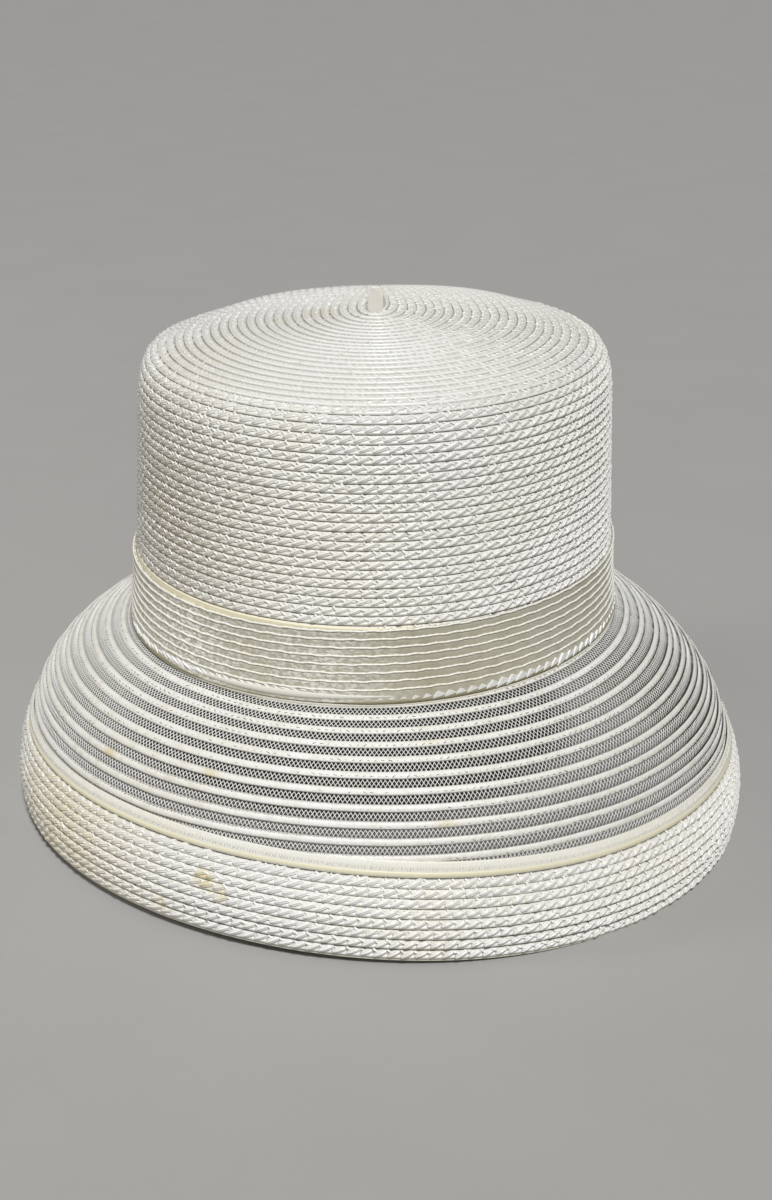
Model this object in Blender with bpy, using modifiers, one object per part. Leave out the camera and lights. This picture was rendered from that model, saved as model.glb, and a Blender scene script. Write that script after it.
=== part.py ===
"""A tall-crowned, bell-brimmed dress hat of sewn braid, with a ridged satin band and a net brim.

The hat stands on its hem at z = 0. The hem is centred on the origin and the front faces -Y.
Sizes are in millimetres, and are turned to metres where a mesh is made.
"""

import math

import bpy

MM = 0.001
SIDES = 30  # sides of every ring
GAP = 0.35  # kept between pieces that touch

# The crown is rows of braid sewn round and round from a small oval start.
CROWN_X = -3.3  # the crown's axis, measured from the middle of the hem
CROWN_Y = -0.3
APEX_Z = 204.6
START_R = 4.0  # half width of the oval start
START_STRETCH = 5.5  # how much longer than wide the first rows are, front to back
ROUND_R = 88.0  # the radius at which the rows have become round
BRAID_PITCH = 3.515
BRAID_RELIEF = 0.7
CREST_AT = 0.45  # where a row of braid stands highest, as a share of its width
CROWN_ROWS = 46
CROWN_WALL = 2.0
CROWN_FOOT_Z = 82.0
INNER_ROWS = (45, 36, 30, 28, 26, 24, 20, 14, 7)  # the rows behind which the inner wall bends

# Fall of the crown's surface below the horizontal, by row of braid.
CROWN_SLOPE = (
    # row, degrees
    (0, 10.0),
    (7, 1.5),
    (11, 3.0),
    (15, 9.0),
    (18, 15.0),
    (22, 14.5),
    (24, 27.0),
    (26, 68.0),
    (29, 87.2),
    (47, 87.2),
)

# The whole hat leans within itself: each level is lower on the left than on the right.
CROWN_TILT = 2.66  # rise at the right and fall at the left, at the crown's widest
CROWN_DRIFT = -0.7  # how far the apex has moved sideways over the crown's foot
ROOT_TILT = 3.9  # the same rise, of the band and of the brim's root
ROOT_NOD = 0.85  # and their fall at the front

BACKING_T = 0.8
BACKING_TOP_Z = 111.8
BACKING_FOOT_Z = 92.0
BACKING_TILT = 1.2

BAND_TOP_Z = 112.6
BAND_FOOT_Z = 84.9
BAND_FLARE = 2.1  # how much wider the band is at its foot
BAND_WALL = 0.9
BAND_RIDGES = 8
RIDGE_RELIEF = 0.4
RIDGE_STEP = 0.117  # from ridge to ridge, as a share of the band's height
RIDGE_FALL = 0.044  # from the top of a ridge to its flat, as a share of the same

COLLAR_T = 0.8
COLLAR_TOP_Z = 88.0
COLLAR_REACH = 3.4  # out from the crown, over the brim's root
COLLAR_TURN = 1.2  # from the root to the collar's outer corner
COLLAR_INSET = 0.4  # how far inside the brim's root its upright stands

# The brim runs outwards and down from the crown's foot in a bell curve.
BRIM_ROOT_R = 94.0
BRIM_ROOT_Z = 84.1
BRIM_WALL = 1.1
NET_ROWS = 10
NET_PITCH = 6.4
NET_START = 4.1  # from the root to the first row of net
NET_RELIEF = 0.5
NET_LOW_AT = 0.2  # the hollow and the ridge of a row, as shares of its width
NET_HIGH_AT = 0.7
BRIM_TUCK = 7.0  # how far the brim runs down behind the border's heading
TUCK_TOP = 1.0  # how far above the heading the last ridge gives way to the plain tuck
TUCK_CLEAR = 1.0  # kept clear of ridges above that
BRIM_LENGTH = 120.0  # of the curve, past the hem
INNER_STEPS = 8  # bends of the brim's inner wall

# Fall of the brim's surface below the horizontal, by distance down it.
BRIM_SLOPE = (
    # mm, degrees
    (0, 18.0),
    (18, 31.5),
    (36, 48.0),
    (54, 68.0),
    (68, 79.0),
    (74, 72.0),
    (84, 80.0),
    (94, 92.0),
    (106, 104.0),
)

HEADING_W = 6.0
HEADING_T = 1.0
HEADING_ROUND = 0.3  # how much thinner it is at its edges
BORDER_ROWS = 8
BORDER_PITCH = 3.95
BORDER_OUT = 1.4  # how far the border's rows stand out from the brim's curve
BORDER_WALL = 2.4
HEM_CORD = 1.2  # height of the plain cord below the border's last row
BORDER_SET = 0.3  # how far the border's groove points lie from the row's edge

# The hem is wider than deep, flatter in front, and lifts off the surface at the left front.
HEM_Y = -1.6  # the hem's own middle, so that its outline is centred on the origin
HEM_SHAPE_R = 138.0  # from this radius outwards the brim is shaped as its hem is
HEM_OVAL = 5.7
HEM_OVAL_BEHIND = 0.2  # the share of it that is left at the back
HEM_OVAL_AT = math.radians(-16)
HEM_LIFT = 4.0
HEM_LIFT_AT = math.radians(235)
HEM_LIFT_SPREAD = 1.15  # 1 lifts half the hem, more lifts less

# name: (red, green, blue), roughness
COLOURS = {
    "crown": ((0.80, 0.76, 0.66), 0.42),
    "band_backing": ((0.82, 0.74, 0.50), 0.55),
    "hat_band": ((0.62, 0.58, 0.44), 0.38),
    "brim_collar": ((0.80, 0.76, 0.65), 0.50),
    "brim": ((0.74, 0.71, 0.62), 0.55),
    "border_heading": ((0.82, 0.78, 0.67), 0.48),
    "brim_border": ((0.82, 0.79, 0.70), 0.42),
}


def blend(table, at):
    """The second column of a two-column table, read between its rows."""
    for (low, first), (high, last) in zip(table, table[1:]):
        if at <= high:
            return first + (last - first) * (at - low) / (high - low)
    return table[-1][1]


def walk(table, start, length, unit, step=0.5):
    """A curve from start, as (distance, radius, z, slope) rows, falling by the table's degrees.

    The table's first column counts in the given unit, as distances along the curve.
    """
    radius, z = start
    curve = []
    for number in range(int(length / step) + 1):
        distance = number * step
        slope = math.radians(blend(table, distance / unit))
        curve.append((distance, radius, z, slope))
        radius += step * math.cos(slope)
        z -= step * math.sin(slope)
    return curve


def point_on(curve, distance, out=0.0):
    """The (radius, z) at a distance along a curve, moved out from its surface."""
    step = curve[1][0]
    index = min(int(distance / step), len(curve) - 2)
    part = distance / step - index
    radius, z, slope = (
        a + (b - a) * part for a, b in zip(curve[index][1:], curve[index + 1][1:])
    )
    return radius + out * math.sin(slope), z + out * math.cos(slope)


def clear_scene():
    for item in list(bpy.data.objects):
        bpy.data.objects.remove(item, do_unlink=True)


def make_material(name):
    colour, roughness = COLOURS[name]
    material = bpy.data.materials.new(name)
    material.use_nodes = True
    shader = material.node_tree.nodes["Principled BSDF"]
    shader.inputs["Base Color"].default_value = (*colour, 1.0)
    shader.inputs["Roughness"].default_value = roughness
    shader.inputs["Metallic"].default_value = 0.0
    return material


def turned(name, profile, collection, closed=True):
    """A profile of (radius, z) points, outside first and running down, turned about Z."""
    edges = [(i, i + 1) for i in range(len(profile) - 1)]
    if closed:
        edges.append((len(profile) - 1, 0))
    line = bpy.data.meshes.new(name + "_profile")
    line.from_pydata([(r * MM, 0, z * MM) for r, z in profile], edges, [])
    guide = bpy.data.objects.new(name + "_profile", line)
    collection.objects.link(guide)
    screw = guide.modifiers.new("turn", "SCREW")
    screw.steps = screw.render_steps = SIDES
    screw.use_merge_vertices = True
    screw.merge_threshold = 0.00001
    bpy.context.view_layer.update()
    graph = bpy.context.evaluated_depsgraph_get()
    mesh = bpy.data.meshes.new_from_object(guide.evaluated_get(graph))
    bpy.data.objects.remove(guide)
    mesh.name = name
    mesh.materials.clear()
    mesh.materials.append(make_material(name))
    mesh.shade_smooth()
    mesh.set_sharp_from_angle(angle=math.radians(50))
    piece = bpy.data.objects.new(name, mesh)
    collection.objects.link(piece)
    return piece


def reshape(piece, rule):
    """Moves each vertex by a rule from (x, y, z) to (x, y, z), in millimetres."""
    for vertex in piece.data.vertices:
        moved = rule(*(value / MM for value in vertex.co))
        vertex.co = [value * MM for value in moved]
    piece.data.update()


def crown_curve():
    """The crown's surface from the middle of its top down to its foot."""
    length = START_R + (CROWN_ROWS + 10) * BRAID_PITCH
    offset = START_R / BRAID_PITCH - 1
    table = [(row + offset, degrees) for row, degrees in CROWN_SLOPE]
    return walk(table, (0.0, APEX_Z), length, BRAID_PITCH)


def crown_profile(curve):
    """Braid rows down to the band, a plain wall behind it, and up the inside."""
    outside = [(0.0, APEX_Z)]
    for row in range(CROWN_ROWS):
        groove = START_R + row * BRAID_PITCH
        outside.append(point_on(curve, groove, -BRAID_RELIEF))
        outside.append(point_on(curve, groove + BRAID_PITCH * CREST_AT))
    last = START_R + CROWN_ROWS * BRAID_PITCH
    outside.append(point_on(curve, last, -BRAID_RELIEF))
    foot_r = outside[-1][0]
    outside.append((foot_r, CROWN_FOOT_Z))
    inside = [(foot_r - CROWN_WALL, CROWN_FOOT_Z)]
    for row in INNER_ROWS:
        inside.append(point_on(curve, START_R + row * BRAID_PITCH, -CROWN_WALL))
    inside.append((0.0, APEX_Z - CROWN_WALL))
    return outside + inside


def stretch_start(x, y, z):
    """Draws the first rows of the top out to ovals, front to back."""
    radius = math.hypot(x, y)
    if radius < 1e-6:
        return x, y, z
    spare = max(0.0, 1 - radius / ROUND_R) * min(1.0, radius / START_R)
    return x, y * (1 + START_STRETCH * spare / radius), z


def drift(x, z):
    return x + CROWN_DRIFT * (z - CROWN_FOOT_Z) / (APEX_Z - CROWN_FOOT_Z)


def root_rise(x, y):
    return (ROOT_TILT * x + ROOT_NOD * y) / BRIM_ROOT_R


def lean_crown(x, y, z):
    return drift(x, z), y, z + CROWN_TILT * x / BRIM_ROOT_R


def lean_backing(x, y, z):
    return drift(x, z), y, z + BACKING_TILT * x / BRIM_ROOT_R


def lean_band(x, y, z):
    return drift(x, z), y, z + root_rise(x, y)


def backing_profile(inner_r):
    outer_r = inner_r + BACKING_T
    return [
        (outer_r, BACKING_TOP_Z),
        (outer_r, BACKING_FOOT_Z),
        (inner_r, BACKING_FOOT_Z),
        (inner_r, BACKING_TOP_Z),
    ]


def band_profile(inner_r):
    """Ridged outside, top to bottom, then the plain inside."""
    height = BAND_TOP_Z - BAND_FOOT_Z

    def wall(share, out):
        return inner_r + BAND_FLARE * share * share + out, BAND_TOP_Z - height * share

    outside = []
    for ridge in range(BAND_RIDGES):
        outside.append(wall(ridge * RIDGE_STEP, BAND_WALL + RIDGE_RELIEF))
        outside.append(wall(ridge * RIDGE_STEP + RIDGE_FALL, BAND_WALL))
    outside.append(wall(1.0, BAND_WALL))
    inside = [wall(1.0, 0.0), wall(0.5, 0.0), wall(0.0, 0.0)]
    return outside + inside


def brim_curve():
    return walk(BRIM_SLOPE, (BRIM_ROOT_R, BRIM_ROOT_Z), BRIM_LENGTH, 1.0)


def brim_length(curve):
    """The distance down the brim at which it meets the surface that the hat rests on."""
    return next(distance for distance, _, z, _ in curve if z <= 0)


def border_height():
    return BORDER_ROWS * BORDER_PITCH + HEM_CORD


def collar_profile(curve):
    """A soft strip up the crown's side and out over the brim's root."""
    return [
        (BRIM_ROOT_R - COLLAR_INSET + COLLAR_T, COLLAR_TOP_Z),
        point_on(curve, COLLAR_TURN, GAP + COLLAR_T),
        point_on(curve, COLLAR_REACH, GAP + COLLAR_T * 0.5),
        point_on(curve, COLLAR_REACH, GAP),
        point_on(curve, 0.0, GAP),
        (BRIM_ROOT_R - COLLAR_INSET, COLLAR_TOP_Z),
    ]


def brim_profile(curve, heading_at):
    """Ridges and net rows outside, down to the tuck behind the heading, then the inside."""
    outside = [point_on(curve, 0.0)]
    for row in range(NET_ROWS):
        start = NET_START + row * NET_PITCH
        outside.append(point_on(curve, start + NET_PITCH * NET_LOW_AT))
        outside.append(point_on(curve, start + NET_PITCH * NET_HIGH_AT, NET_RELIEF))
    last = heading_at - TUCK_TOP
    end = heading_at + BRIM_TUCK
    outside = [point for point in outside if point[1] > point_on(curve, last - TUCK_CLEAR)[1]]
    tuck = [point_on(curve, last), point_on(curve, end)]
    inside = [
        point_on(curve, end * (1 - step / INNER_STEPS), -BRIM_WALL)
        for step in range(INNER_STEPS + 1)
    ]
    return outside + tuck + inside


def heading_profile(curve, heading_at):
    foot = heading_at + HEADING_W
    far = GAP + HEADING_T
    return [
        point_on(curve, heading_at, far - HEADING_ROUND),
        point_on(curve, heading_at + HEADING_W * 0.5, far),
        point_on(curve, foot, far - HEADING_ROUND),
        point_on(curve, foot, GAP),
        point_on(curve, heading_at, GAP),
    ]


def border_profile(curve, top, foot):
    """Rows of braid and a plain cord outside, then up the inside behind the rows."""
    outside = []
    for row in range(BORDER_ROWS):
        start = top + row * BORDER_PITCH
        outside.append(point_on(curve, start + BORDER_SET, BORDER_OUT - BRAID_RELIEF))
        outside.append(point_on(curve, start + BORDER_PITCH * CREST_AT, BORDER_OUT))
    outside.append(point_on(curve, foot - HEM_CORD, BORDER_OUT - BRAID_RELIEF))
    foot_r = point_on(curve, foot, BORDER_OUT - BORDER_SET)[0]
    outside.append((foot_r, 0.0))
    inside = [(foot_r - BORDER_WALL, 0.0)]
    low = top - HEADING_W + BRIM_TUCK
    for share in (0.66, 0.33, 0.0):
        distance = low + (foot - low) * share
        inside.append(point_on(curve, distance, BORDER_OUT - BORDER_WALL))
    inside.append(point_on(curve, low, GAP))
    inside.append(point_on(curve, top + BORDER_SET, GAP))
    return outside + inside


def oval_share(angle):
    """How much of the hem's oval shows in this direction: all in front, less behind."""
    return 1 - (1 - HEM_OVAL_BEHIND) * max(0.0, math.sin(angle)) ** 2


def settle_brim(x, y, z):
    """Places a point of the brim: tilted at its root, oval and partly lifted at its hem."""
    radius = math.hypot(x, y)
    angle = math.atan2(y, x)
    share = (radius - BRIM_ROOT_R) / (HEM_SHAPE_R - BRIM_ROOT_R)
    share = min(1.0, max(0.0, share))
    oval = HEM_OVAL * oval_share(angle) * math.cos(2 * (angle - HEM_OVAL_AT))
    drawn = radius + oval * share * share
    turn = math.remainder(angle - HEM_LIFT_AT, 2 * math.pi) * HEM_LIFT_SPREAD
    lift = HEM_LIFT * share * max(0.0, math.cos(min(abs(turn), math.pi / 2))) ** 1.5
    return (
        drawn * math.cos(angle) + CROWN_X * (1 - share),
        drawn * math.sin(angle) + CROWN_Y * (1 - share) + HEM_Y * share,
        z + lift + (1 - share) * root_rise(x, y),
    )


def build_crown(hat):
    """The crown, and the band and its backing that go round it."""
    line = crown_curve()
    wall_r = point_on(line, START_R + CROWN_ROWS * BRAID_PITCH, -BRAID_RELIEF)[0]
    backing_r = wall_r + GAP
    band_r = backing_r + BACKING_T + GAP
    for name, profile, closed, rules in (
        ("crown", crown_profile(line), False, (stretch_start, lean_crown)),
        ("band_backing", backing_profile(backing_r), True, (lean_backing,)),
        ("hat_band", band_profile(band_r), True, (lean_band,)),
    ):
        piece = turned(name, profile, hat, closed)
        for rule in rules:
            reshape(piece, rule)
        piece.location = (CROWN_X * MM, CROWN_Y * MM, 0)


def build_brim(hat):
    """The collar, the net brim, and the border with its heading."""
    line = brim_curve()
    foot = brim_length(line)
    border_at = foot - border_height()
    heading_at = border_at - HEADING_W - GAP
    for name, profile in (
        ("brim_collar", collar_profile(line)),
        ("brim", brim_profile(line, heading_at)),
        ("border_heading", heading_profile(line, heading_at)),
        ("brim_border", border_profile(line, border_at, foot)),
    ):
        reshape(turned(name, profile, hat), settle_brim)


def build():
    clear_scene()
    hat = bpy.data.collections.new("church_hat")
    bpy.context.scene.collection.children.link(hat)
    build_crown(hat)
    build_brim(hat)


build()
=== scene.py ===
import math

import bmesh
import bpy
import numpy as np
from mathutils import Matrix, Vector


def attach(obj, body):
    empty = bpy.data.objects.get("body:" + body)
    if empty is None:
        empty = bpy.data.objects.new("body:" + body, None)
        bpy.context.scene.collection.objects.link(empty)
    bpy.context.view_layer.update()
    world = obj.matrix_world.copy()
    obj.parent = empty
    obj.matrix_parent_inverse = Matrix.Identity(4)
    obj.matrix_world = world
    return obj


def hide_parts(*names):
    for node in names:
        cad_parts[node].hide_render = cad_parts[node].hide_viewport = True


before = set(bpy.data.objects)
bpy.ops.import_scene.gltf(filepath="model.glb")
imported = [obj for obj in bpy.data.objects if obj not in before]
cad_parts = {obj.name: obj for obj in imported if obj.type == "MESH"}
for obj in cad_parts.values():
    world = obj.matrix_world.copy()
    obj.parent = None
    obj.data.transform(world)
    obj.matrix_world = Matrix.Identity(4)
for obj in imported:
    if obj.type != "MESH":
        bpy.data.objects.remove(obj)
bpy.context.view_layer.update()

# A tall-crowned, bell-brimmed dress hat of sewn satin braid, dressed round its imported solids.
# Lengths are in millimetres until a mesh is made. The hat stands at z = 0 and its front faces -Y.
MM = 0.001
FRONT = -math.pi / 2
SEED = 7

# The crown: rows of braid sewn round and round from a small oval start.
CROWN_AT = (-3.3, -0.3)
APEX_Z = 204.6  # the highest point of the crown's solid
START_Z = 203.6  # the middle of the top, before the top is lifted
START_R = 4.0  # radius of the first row
START_STRETCH = 5.5  # how much longer than wide the first rows are
ROUND_R = 88.0  # the rows are round from this radius on
BEHIND_STRETCH = 12.0  # how much further the first rows of braid reach to the back
TIP_BACK = 8.0  # how far behind the crown's axis the start of the braid lies
TIP_REACH = 38.0  # the radius at which the rows are about the axis again
RISE = 3.1  # the top rises by this behind its middle, between these places along y
RISE_FROM = -2.0
RISE_TO = 30.0
RISE_HALF_WIDTH = 70.0
SINK = 5.0  # and sinks by this from its middle to the back
SINK_LENGTH = 75.0
SINK_ENDS_AT = 90.0  # at the right it sinks less and less, up to this place along x
LIFT_FROM_Z = 150.0  # none of that reaches below here, and all of it is above the next
LIFT_FULL_Z = 195.0
BRAID_PITCH = 3.515  # from row to row
BRAID_RELIEF = 0.7  # from the face of the rows down to their grooves
CROWN_ROWS = 46
CROWN_WALL = 2.0
CROWN_FOOT_Z = 82.0
SHOULDER_ROW = 22  # the last row of the top
LAST_ROW = 50  # rows are laid up to here, where they show
CROWN_SLOPE = (
    # row, degrees
    *((0, 6.0), (7, 1.5), (11, 3.0), (15, 9.0), (18, 15.0)),
    *((22, 14.5), (24, 27.0), (26, 68.0), (29, 87.2), (47, 87.2)),
)
CROWN_TILT = 2.66  # how much higher the crown's rows are at the right than at its middle
CROWN_DRIFT = -0.7  # how far the top stands from the foot along x
ROOT_TILT = 3.9  # how much the brim's root rises to the right, and to the back
ROOT_NOD = 0.85
WALL_R = 93.15  # outside of the crown's foot, in its grooves
GAP = 0.35  # between neighbouring pieces

BACKING_T = 0.8
BACKING_TOP_Z = 111.8
BACKING_FOOT_Z = 92.0
BACKING_TILT = 1.2  # how much it rises to the right

BAND_TOP_Z = 112.6
BAND_FOOT_Z = 84.9
BAND_FLARE = 2.1  # how much wider in radius its foot is
BAND_WALL = 0.9
BAND_RIDGES = 8

BRIM_ROOT_R = 94.0
BRIM_ROOT_Z = 84.1
BRIM_SLOPE = (
    # mm, degrees
    *((0, 18.0), (18, 31.5), (36, 48.0), (54, 68.0), (68, 79.0)),
    *((74, 72.0), (84, 80.0), (94, 92.0), (106, 104.0)),
)
HEADING_W = 6.0
BORDER_ROWS = 8
BORDER_PITCH = 3.95
BORDER_OUT = 1.4  # how far out of the brim's wall the border's face is
BORDER_WALL = 2.4
HEM_CORD = 1.2  # the room for the cord along the hem
HEM_Y = -1.6  # where the middle of the hem lies along y
HEM_SHAPE_R = 138.0  # the radius at which the brim has its full oval and lift
HEM_OVAL = 5.7  # how far the oval goes past a circle, its share behind and its direction
HEM_OVAL_BEHIND = 0.2
HEM_OVAL_AT = math.radians(-16)
HEM_LIFT = 4.0  # how far the hem is lifted, in which direction, and how narrow that is
HEM_LIFT_AT = math.radians(235)
HEM_LIFT_SPREAD = 1.15

# Sides of the turned pieces, round the hat.
CROWN_SIDES = 96
BACKING_SIDES = 128
BAND_SIDES = 160
BRIM_SIDES = 200
SHARP = math.radians(50)  # edges sharper than this keep a crease
PROBE = 0.1  # how far out a surface is felt for, to find which way is out


class Wall:
    """A turned wall: a curve that falls by a table of slopes, and a rule that settles its points."""

    def __init__(self, slopes, start, length, unit, settle, shift=0.0, step=0.5):
        table = np.array(slopes)
        self.along = np.arange(0.0, length, step)
        slope = np.radians(np.interp(self.along / unit, table[:, 0] + shift, table[:, 1]))
        self.sin, self.cos = np.sin(slope), np.cos(slope)
        self.radius = start[0] + np.r_[0.0, np.cumsum(step * self.cos)[:-1]]
        self.z = start[1] - np.r_[0.0, np.cumsum(step * self.sin)[:-1]]
        self.settle = settle

    def flat(self, distance, out=0.0):
        """The radius and height at distances down the wall, moved out from its surface."""
        radius, z, sin, cos = (
            np.interp(distance, self.along, column)
            for column in (self.radius, self.z, self.sin, self.cos)
        )
        return radius + out * sin, z + out * cos

    def at(self, distance, angle, out=0.0):
        """Points of the wall, in millimetres."""
        radius, z = self.flat(distance, out)
        return np.stack(self.settle(radius, angle, z), axis=-1)


def root_rise(x, y):
    """How much higher the brim's root is there than at its middle."""
    return (ROOT_TILT * x + ROOT_NOD * y) / BRIM_ROOT_R


def crown_drift(z):
    """How far the crown stands aside at a height."""
    return CROWN_DRIFT * (z - CROWN_FOOT_Z) / (APEX_Z - CROWN_FOOT_Z)


def top_lift(x, y):
    """How much the top rises behind its middle, and then sinks towards the back."""
    rising = np.clip((y - RISE_FROM) / (2 * (RISE_TO - RISE_FROM)), 0, 1)
    rise = RISE * np.sin(math.pi * rising) ** 2 * np.clip(1 - (x / RISE_HALF_WIDTH) ** 2, 0, 1)
    sinking = np.clip(y / SINK_LENGTH, 0, 1)
    share = 1 - np.clip(x / SINK_ENDS_AT, 0, 1)
    return rise - SINK * share * sinking**1.5


def settle_crown(radius, angle, z):
    """Draws the first rows out to ovals that reach further behind, and tilts the crown."""
    spare = np.clip(1 - radius / ROUND_R, 0, None) * np.clip(radius / START_R, None, 1)
    further = BEHIND_STRETCH * spare * np.clip(np.sin(angle), 0, None)
    x = radius * np.cos(angle)
    back = TIP_BACK * np.clip(1 - radius / TIP_REACH, 0, None)
    y = (radius + START_STRETCH * spare + further) * np.sin(angle) + back
    high = np.clip((z - LIFT_FROM_Z) / (LIFT_FULL_Z - LIFT_FROM_Z), 0, 1)
    z = z + high * top_lift(x, y)
    return (
        x + crown_drift(z) + CROWN_AT[0],
        y + CROWN_AT[1],
        z + CROWN_TILT * x / BRIM_ROOT_R,
    )


def settle_round(rise):
    """A rule for a plain strip round the crown's foot, tilted as the given function says."""

    def settle(radius, angle, z):
        x, y = radius * np.cos(angle), radius * np.sin(angle)
        return x + crown_drift(z) + CROWN_AT[0], y + CROWN_AT[1], z + rise(x, y)

    return settle


def settle_brim(radius, angle, z):
    """Tilted at its root, oval and partly lifted at its hem."""
    share = np.clip((radius - BRIM_ROOT_R) / (HEM_SHAPE_R - BRIM_ROOT_R), 0, 1)
    behind = 1 - (1 - HEM_OVAL_BEHIND) * np.clip(np.sin(angle), 0, None) ** 2
    drawn = radius + HEM_OVAL * behind * np.cos(2 * (angle - HEM_OVAL_AT)) * share**2
    turn = np.remainder(angle - HEM_LIFT_AT + math.pi, 2 * math.pi) - math.pi
    turn = np.clip(np.abs(turn) * HEM_LIFT_SPREAD, None, math.pi / 2)
    lift = HEM_LIFT * share * np.clip(np.cos(turn), 0, None) ** 1.5
    x, y = radius * np.cos(angle), radius * np.sin(angle)
    return (
        drawn * np.cos(angle) + CROWN_AT[0] * (1 - share),
        drawn * np.sin(angle) + CROWN_AT[1] * (1 - share) + HEM_Y * share,
        z + lift + (1 - share) * root_rise(x, y),
    )


crown = Wall(
    CROWN_SLOPE,
    (0.0, START_Z),
    START_R + (CROWN_ROWS + 10) * BRAID_PITCH,
    BRAID_PITCH,
    settle_crown,
    shift=START_R / BRAID_PITCH - 1,
)
brim = Wall(BRIM_SLOPE, (BRIM_ROOT_R, BRIM_ROOT_Z), 120.0, 1.0, settle_brim)
HEM_AT = float(brim.along[np.argmax(brim.z <= 0)])
BORDER_AT = HEM_AT - BORDER_ROWS * BORDER_PITCH - HEM_CORD
HEADING_AT = BORDER_AT - HEADING_W - GAP
BAND_R = WALL_R + GAP + BACKING_T + GAP

settle_band = settle_round(root_rise)


def band_at(share, angle, out):
    """Points of the band, whose top edge is at share 0 and its foot at share 1."""
    radius = BAND_R + BAND_FLARE * share * share + out
    z = BAND_TOP_Z - (BAND_TOP_Z - BAND_FOOT_Z) * share
    return np.stack(settle_band(radius, angle, z), axis=-1)


def keep(name, mesh):
    """A finished piece, on the hat's one body."""
    piece = bpy.data.objects.new(name, mesh)
    bpy.context.scene.collection.objects.link(piece)
    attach(piece, "root")
    return piece


def loft(name, rings, material):
    """A closed body through rings of points, each a row of the same number of points round the hat.

    The rings run down the outside and up the inside, so that the faces point outwards.
    """
    rows, sides, _ = rings.shape
    faces = []
    for row in range(rows):
        low = (row + 1) % rows
        for side in range(sides):
            far = (side + 1) % sides
            faces.append(
                (row * sides + side, low * sides + side, low * sides + far, row * sides + far)
            )
    mesh = bpy.data.meshes.new(name)
    mesh.from_pydata((rings.reshape(-1, 3) * MM).tolist(), [], faces)
    mesh.materials.append(material)
    mesh.validate()
    mesh.shade_smooth()
    mesh.set_sharp_from_angle(angle=SHARP)
    return keep(name, mesh)


def weld(piece):
    """Closes the poles of a body and turns its faces outwards."""
    work = bmesh.new()
    work.from_mesh(piece.data)
    bmesh.ops.remove_doubles(work, verts=work.verts, dist=1e-6)
    bmesh.ops.recalc_face_normals(work, faces=work.faces)
    work.to_mesh(piece.data)
    work.free()
    piece.data.update()


def turned_rings(point, profile, sides):
    """Rings for loft: one for each (distance, out) of a profile."""
    angles = np.linspace(0, 2 * math.pi, sides, endpoint=False)
    return np.stack([point(np.full(sides, d), angles, out) for d, out in profile])


def guide(point, paths, sizes=None):
    """A mesh of edges along paths, each a (distance, angle, out, closed) tuple of rows.

    Its points know which way is out of the surface, and how big things are there.
    """
    points, outs, edges, grown = [], [], [], []
    count = 0
    for (distance, angle, out, closed), size in zip(paths, sizes or [1.0] * len(paths)):
        here = point(distance, angle, out)
        normal = point(distance, angle, out + PROBE) - here
        points.append(here * MM)
        outs.append(normal / np.linalg.norm(normal, axis=-1, keepdims=True))
        grown.append(size * np.ones(len(here)))
        end = count + len(here)
        edges += [(i, i + 1) for i in range(count, end - 1)]
        if closed:
            edges.append((end - 1, count))
        count = end
    mesh = bpy.data.meshes.new("guide")
    mesh.from_pydata(np.concatenate(points).tolist(), edges, [])
    outward = mesh.attributes.new("outward", "FLOAT_VECTOR", "POINT")
    outward.data.foreach_set("vector", np.concatenate(outs).astype(np.float32).ravel())
    size = mesh.attributes.new("size", "FLOAT", "POINT")
    size.data.foreach_set("value", np.concatenate(grown).astype(np.float32))
    return mesh


def ring_path(distance, out, turn=0.0, points=240):
    """One closed row round the hat."""
    angle = turn + np.linspace(0, 2 * math.pi, points, endpoint=False)
    return np.full(points, float(distance)), angle, np.full(points, float(out)), True


def spiral_path(first, pitch, turns, out, per_turn=180):
    """One open row that starts at the front and goes down the wall by a pitch in each turn."""
    turn = np.arange(0, turns * per_turn + 1) / per_turn
    angle = FRONT + turn * 2 * math.pi
    return first + pitch * turn, angle, np.full(len(turn), float(out)), False


def place(group, kind, feeds=None, **settings):
    """A node with its settings made and its inputs fed from sockets, nodes or plain values."""
    node = group.nodes.new(kind)
    for setting, value in settings.items():
        setattr(node, setting, value)
    for socket, source in (feeds or {}).items():
        feed(group, node, socket, source)
    return node


def live(sockets, key):
    """The enabled socket of that name or number."""
    if isinstance(key, int):
        return [s for s in sockets if s.enabled][key]
    return next(s for s in sockets if s.name == key and s.enabled)


def feed(group, node, socket, source):
    """Sets an input of a node from a plain value, or links it to a socket or a node."""
    entry = live(node.inputs, socket)
    if isinstance(source, bpy.types.Node):
        source = live(source.outputs, 0)
    if isinstance(source, bpy.types.NodeSocket):
        group.links.new(source, entry)
    else:
        entry.default_value = source


def new_tree(name, sizes):
    """A geometry tree with named inputs for its sizes, and its input node."""
    tree = bpy.data.node_groups.new(name, "GeometryNodeTree")
    tree.interface.new_socket("Guide", in_out="INPUT", socket_type="NodeSocketGeometry")
    for label, value in sizes.items():
        kind = "NodeSocketInt" if isinstance(value, int) else "NodeSocketFloat"
        socket = tree.interface.new_socket(label, in_out="INPUT", socket_type=kind)
        socket.default_value = value
    tree.interface.new_socket("Finish", in_out="INPUT", socket_type="NodeSocketMaterial")
    tree.interface.new_socket("Result", in_out="OUTPUT", socket_type="NodeSocketGeometry")
    return tree, place(tree, "NodeGroupInput")


def calc(tree, operation, *terms):
    """A sum on values and sockets."""
    return place(tree, "ShaderNodeMath", dict(enumerate(terms)), operation=operation)


def named(tree, name, kind="FLOAT"):
    """What each point knows by that name."""
    return place(tree, "GeometryNodeInputNamedAttribute", {"Name": name}, data_type=kind)


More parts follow.
